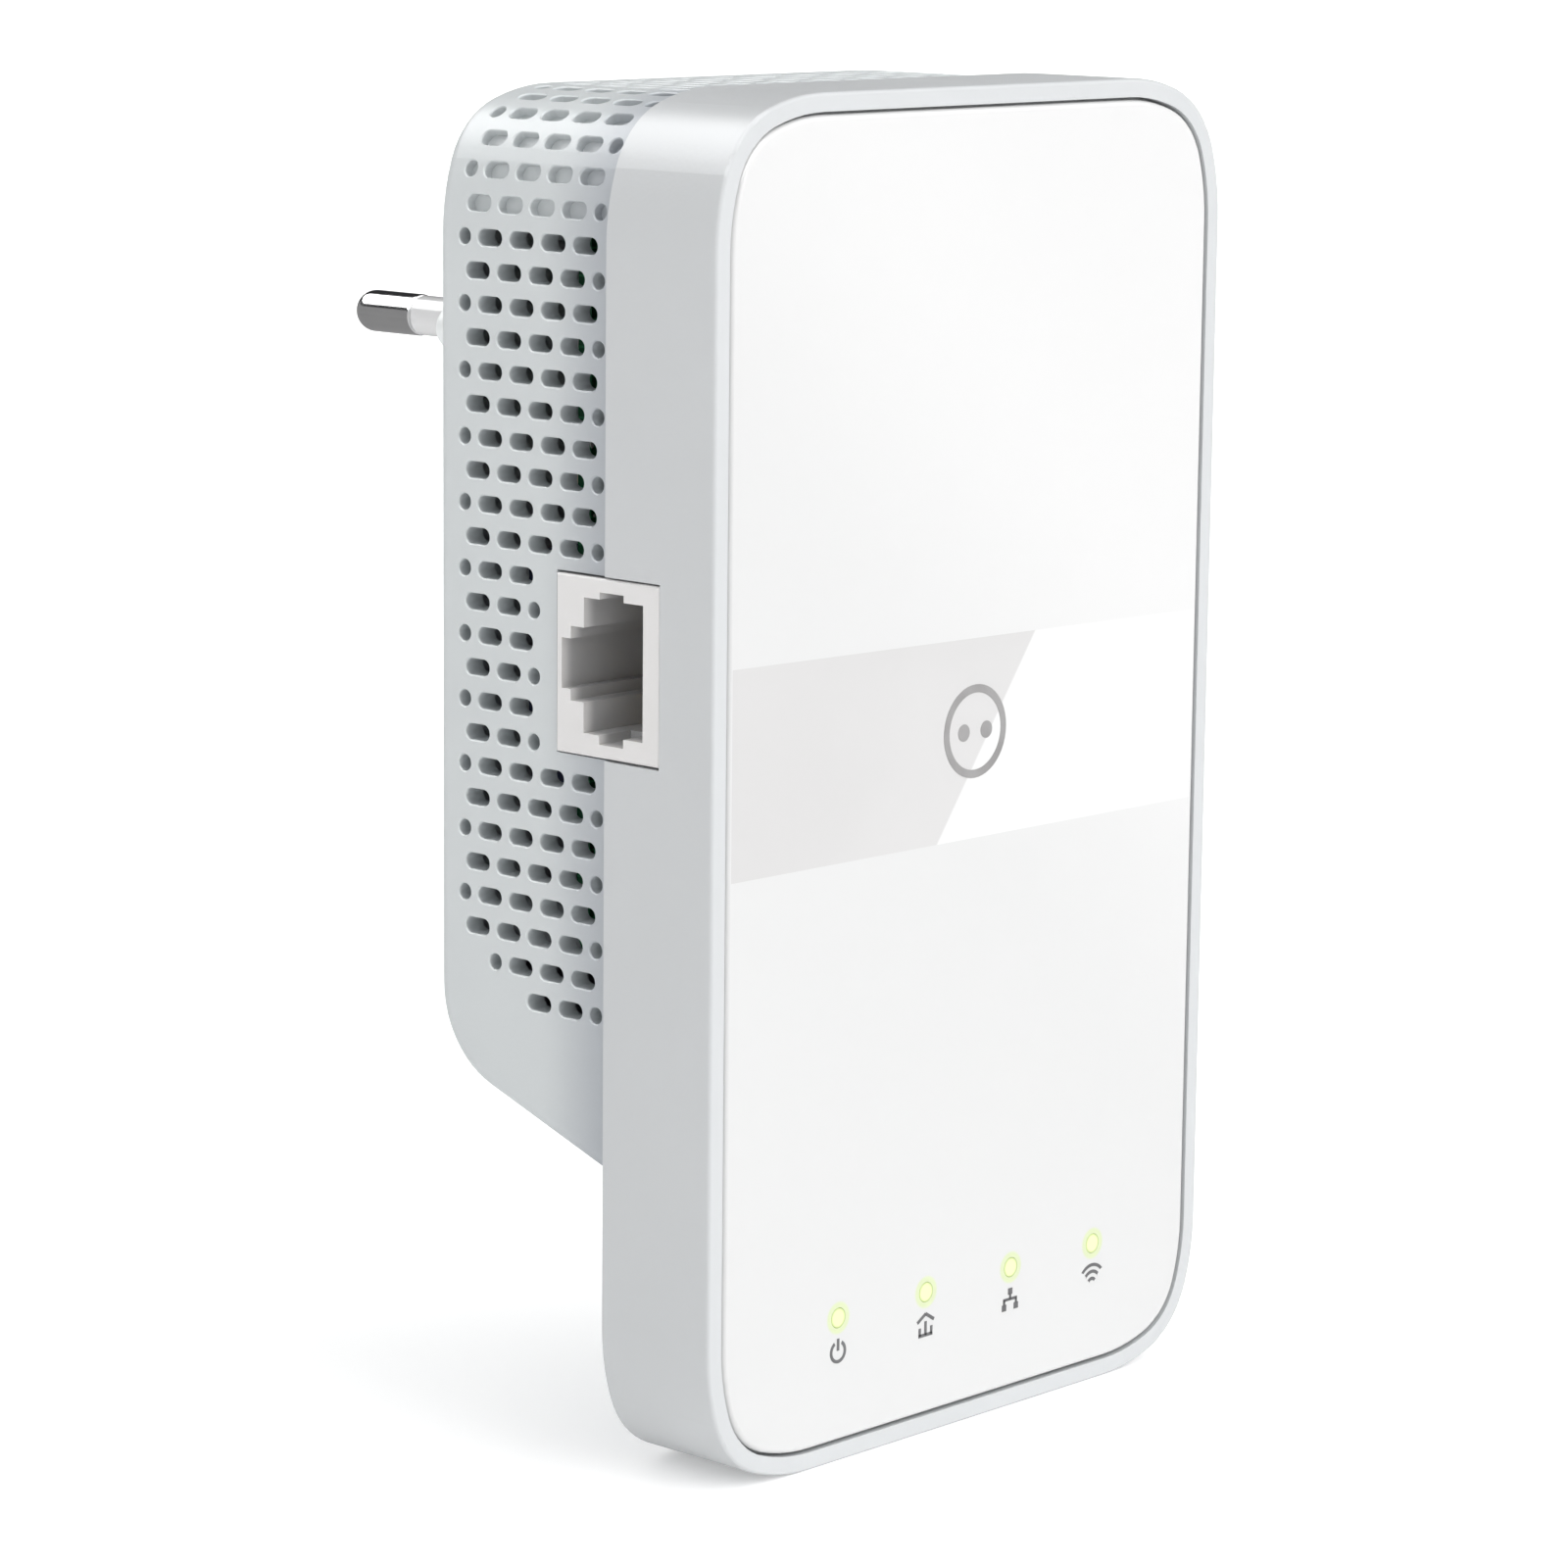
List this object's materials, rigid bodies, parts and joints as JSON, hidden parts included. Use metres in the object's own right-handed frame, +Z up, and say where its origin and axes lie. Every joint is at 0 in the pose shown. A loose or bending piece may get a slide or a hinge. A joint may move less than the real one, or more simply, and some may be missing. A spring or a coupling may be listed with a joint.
{
  "type": "powerline adapter",
  "caption": "Plug-in powerline network adapter with a glossy front plate, vented rear shell, round-pin mains plug, side network socket, side buttons and status lights.",
  "frame": {"origin": "centre of the plug's flat face, midway between the two pins", "axes": "+Y out of the plug face along the pins, towards the wall socket; -Y out of the front plate; +Z up; +X to the right seen from the front"},
  "size_m": [0.0691, 0.0708, 0.123],
  "materials": {
    "case_plastic": "fine satin moulded",
    "plate_plastic": "high gloss",
    "band_film": "mirror gloss",
    "label_film": "satin film",
    "plug_plastic": "fine satin moulded",
    "sleeve_plastic": "smooth moulded",
    "pin_metal": "bright nickel plate",
    "terminal_brass": "as rolled",
    "screw_steel": "zinc plated",
    "button_plastic": "satin moulded",
    "switch_plastic": "moulded",
    "plunger_plastic": "moulded",
    "jack_plastic": "moulded",
    "contact_gold": "gold flash",
    "board_laminate": "solder mask",
    "chip_epoxy": "moulded epoxy",
    "tin_plate": "bright tin plate",
    "sink_aluminium": "extruded",
    "can_sleeve": "sleeved can",
    "pad_silicone": "soft",
    "guide_clear": "clear moulded",
    "led_body": "moulded",
    "shroud_plastic": "moulded",
    "ferrite": "sintered",
    "winding_tape": "polyester tape",
    "component_case": "dipped and moulded",
    "fuse_ceramic": "fired tube",
    "insulation_film": "plain film"
  },
  "bodies": {
    "case": {"front_shell": "case_plastic", "rear_shell": "case_plastic", "front_plate": "plate_plastic", "gloss_band": "band_film", "rating_label": "label_film", "plug_base": "plug_plastic", "live_pin_sleeve": "sleeve_plastic", "neutral_pin_sleeve": "sleeve_plastic", "live_pin": "pin_metal", "neutral_pin": "pin_metal", "live_terminal": "terminal_brass", "neutral_terminal": "terminal_brass", "case_screws": "screw_steel", "board_screws": "screw_steel", "power_board_screws": "screw_steel", "pair_switch": "switch_plastic", "wifi_switch": "switch_plastic", "reset_switch": "switch_plastic", "board_header": "switch_plastic", "optocoupler": "switch_plastic", "ethernet_jack": "jack_plastic", "ethernet_contacts": "contact_gold", "header_pins": "contact_gold", "main_board": "board_laminate", "power_board": "board_laminate", "powerline_chip": "chip_epoxy", "wifi_chip": "chip_epoxy", "memory_chip": "chip_epoxy", "flash_chip": "chip_epoxy", "bridge_rectifier": "chip_epoxy", "ethernet_transformer": "chip_epoxy", "radio_shield": "tin_plate", "left_antenna": "tin_plate", "right_antenna": "tin_plate", "crystal": "tin_plate", "heat_sink": "sink_aluminium", "bulk_capacitors": "can_sleeve", "output_capacitors": "can_sleeve", "thermal_pad": "pad_silicone", "light_guides": "guide_clear", "status_leds": "led_body", "light_shroud": "shroud_plastic", "transformer_core": "ferrite", "line_choke": "ferrite", "coupling_transformer": "ferrite", "transformer_winding": "winding_tape", "safety_capacitor": "component_case", "surge_varistor": "component_case", "line_fuse": "fuse_ceramic", "insulation_sheet": "insulation_film"},
    "pair_button": {"pair_button": "button_plastic", "pair_plunger": "plunger_plastic"},
    "wifi_button": {"wifi_button": "button_plastic", "wifi_plunger": "plunger_plastic"},
    "reset_plunger": {"reset_plunger": "plunger_plastic"}
  },
  "joints": [
    {"name": "pair_press", "type": "slide", "parent": "case", "child": "pair_button", "axis": [-1, 0, 0], "range_m": [0, 0.0004], "stiffness_N_per_m": 3000},
    {"name": "wifi_press", "type": "slide", "parent": "case", "child": "wifi_button", "axis": [-1, 0, 0], "range_m": [0, 0.0004], "stiffness_N_per_m": 3000},
    {"name": "reset_press", "type": "slide", "parent": "case", "child": "reset_plunger", "axis": [-1, 0, 0], "range_m": [0, 0.00025], "stiffness_N_per_m": 4000}
  ]
}
